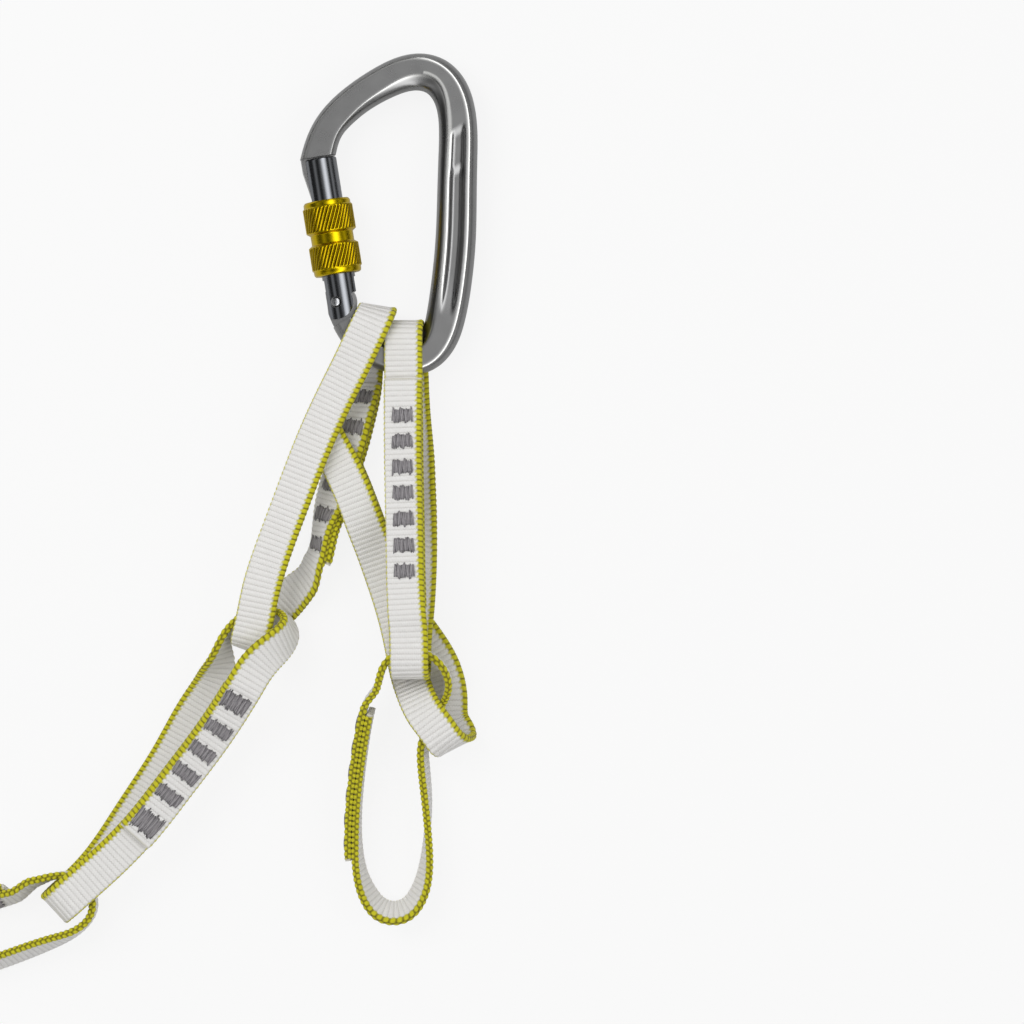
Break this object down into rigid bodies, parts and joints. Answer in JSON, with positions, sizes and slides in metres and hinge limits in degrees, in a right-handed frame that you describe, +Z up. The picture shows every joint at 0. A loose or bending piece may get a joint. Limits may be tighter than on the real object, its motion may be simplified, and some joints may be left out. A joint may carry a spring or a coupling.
{
  "type": "personal anchor chain",
  "caption": "Screwgate carabiner on a chain of interlinked sewn webbing loops, laid out flat, for clipping a climber to an anchor.",
  "frame": {"origin": "underside of the end loop's rear leg, where it lies on the surface just below the carabiner", "axes": "+Z up from the surface it lies on, +Y towards the carabiner's top, +X towards the carabiner's spine"},
  "size_m": [0.2439, 0.3086, 0.0271],
  "materials": {
    "aluminium_satin": "satin",
    "gate_gunmetal": "glossy dark grey anodised",
    "steel": "plain",
    "anodised_gold": "yellow gold anodised",
    "webbing_white": "woven, lime yellow edges",
    "thread_grey": "zigzag stitching"
  },
  "bodies": {
    "carabiner": {"carabiner_body": "aluminium_satin", "hinge_rivet": "steel"},
    "gate": {"gate_barrel": "gate_gunmetal", "gate_spring": "steel"},
    "push_rod": {"push_rod": "steel"},
    "sleeve": {"locking_sleeve": "anodised_gold"},
    "end_loop": {"end_loop": "webbing_white", "end_loop_bar_tack_1": "thread_grey", "end_loop_bar_tack_2": "thread_grey", "end_loop_bar_tack_3": "thread_grey", "end_loop_bar_tack_4": "thread_grey", "end_loop_bar_tack_5": "thread_grey", "end_loop_bar_tack_6": "thread_grey", "end_loop_bar_tack_7": "thread_grey"},
    "free_loop": {"free_loop": "webbing_white", "free_loop_bar_tack_1": "thread_grey", "free_loop_bar_tack_2": "thread_grey", "free_loop_bar_tack_3": "thread_grey", "free_loop_bar_tack_4": "thread_grey", "free_loop_bar_tack_5": "thread_grey", "free_loop_bar_tack_6": "thread_grey"},
    "middle_loop": {"middle_loop": "webbing_white", "middle_loop_bar_tack_1": "thread_grey", "middle_loop_bar_tack_2": "thread_grey", "middle_loop_bar_tack_3": "thread_grey", "middle_loop_bar_tack_4": "thread_grey", "middle_loop_bar_tack_5": "thread_grey"},
    "long_loop": {"long_loop": "webbing_white", "long_loop_bar_tack_1": "thread_grey", "long_loop_bar_tack_2": "thread_grey", "long_loop_bar_tack_3": "thread_grey", "long_loop_bar_tack_4": "thread_grey", "long_loop_bar_tack_5": "thread_grey", "long_loop_bar_tack_6": "thread_grey"},
    "lower_loop": {"lower_loop": "webbing_white", "lower_loop_bar_tack_1": "thread_grey", "lower_loop_bar_tack_2": "thread_grey", "lower_loop_bar_tack_3": "thread_grey", "lower_loop_bar_tack_4": "thread_grey", "lower_loop_bar_tack_5": "thread_grey", "lower_loop_bar_tack_6": "thread_grey"},
    "tie_in_loop": {"tie_in_loop": "webbing_white", "tie_in_loop_bar_tack_1": "thread_grey", "tie_in_loop_bar_tack_2": "thread_grey", "tie_in_loop_bar_tack_3": "thread_grey", "tie_in_loop_bar_tack_4": "thread_grey", "tie_in_loop_bar_tack_5": "thread_grey", "tie_in_loop_bar_tack_6": "thread_grey"}
  },
  "joints": [
    {"name": "gate_pivot", "type": "hinge", "parent": "carabiner", "child": "gate", "pos_m": [-0.02267, 0.03093, 0.0083], "axis": [0, 0, -1], "range_deg": [0, 26], "stiffness_Nm_per_rad": 0.5, "springref_deg": -17.19},
    {"name": "sleeve_travel", "type": "slide", "parent": "gate", "child": "sleeve", "axis": [0.1585, -0.9874, 0], "range_m": [-0.01, 0]},
    {"name": "push_rod_stroke", "type": "slide", "parent": "gate", "child": "push_rod", "axis": [-0.1585, 0.9874, 0], "range_m": [0, 0.0019], "deforming": ["gate_spring"]},
    {"name": "long_loop_swing", "type": "hinge", "parent": "carabiner", "child": "long_loop", "pos_m": [-0.007, 0.0145, 0.0083], "axis": [-1, 0, 0], "range_deg": [0, 15]},
    {"name": "end_loop_swing", "type": "hinge", "parent": "carabiner", "child": "end_loop", "pos_m": [-0.007, 0.0145, 0.0083], "axis": [-1, 0, 0], "range_deg": [0, 15]},
    {"name": "middle_loop_swing", "type": "hinge", "parent": "long_loop", "child": "middle_loop", "pos_m": [-0.02, -0.018, 0.005], "axis": [0, 0, 1], "range_deg": [-0.5, 0.5]},
    {"name": "lower_loop_swing", "type": "hinge", "parent": "long_loop", "child": "lower_loop", "pos_m": [-0.0495, -0.076, 0.0086], "axis": [0, 0, 1], "range_deg": [-6, 5]},
    {"name": "tie_in_loop_swing", "type": "hinge", "parent": "lower_loop", "child": "tie_in_loop", "pos_m": [-0.1065, -0.1585, 0.0086], "axis": [0, 0, 1], "range_deg": [-8, 8]},
    {"name": "free_loop_swing", "type": "hinge", "parent": "end_loop", "child": "free_loop", "pos_m": [0.001, -0.0825, 0.014], "axis": [0, 0, 1], "range_deg": [-2, 2]}
  ],
  "couplings": [
    {"joint": "push_rod_stroke", "follows": "gate_pivot", "m_per_rad": 0.003967},
    {"joint": "end_loop_swing", "follows": "long_loop_swing", "ratio": 1}
  ]
}
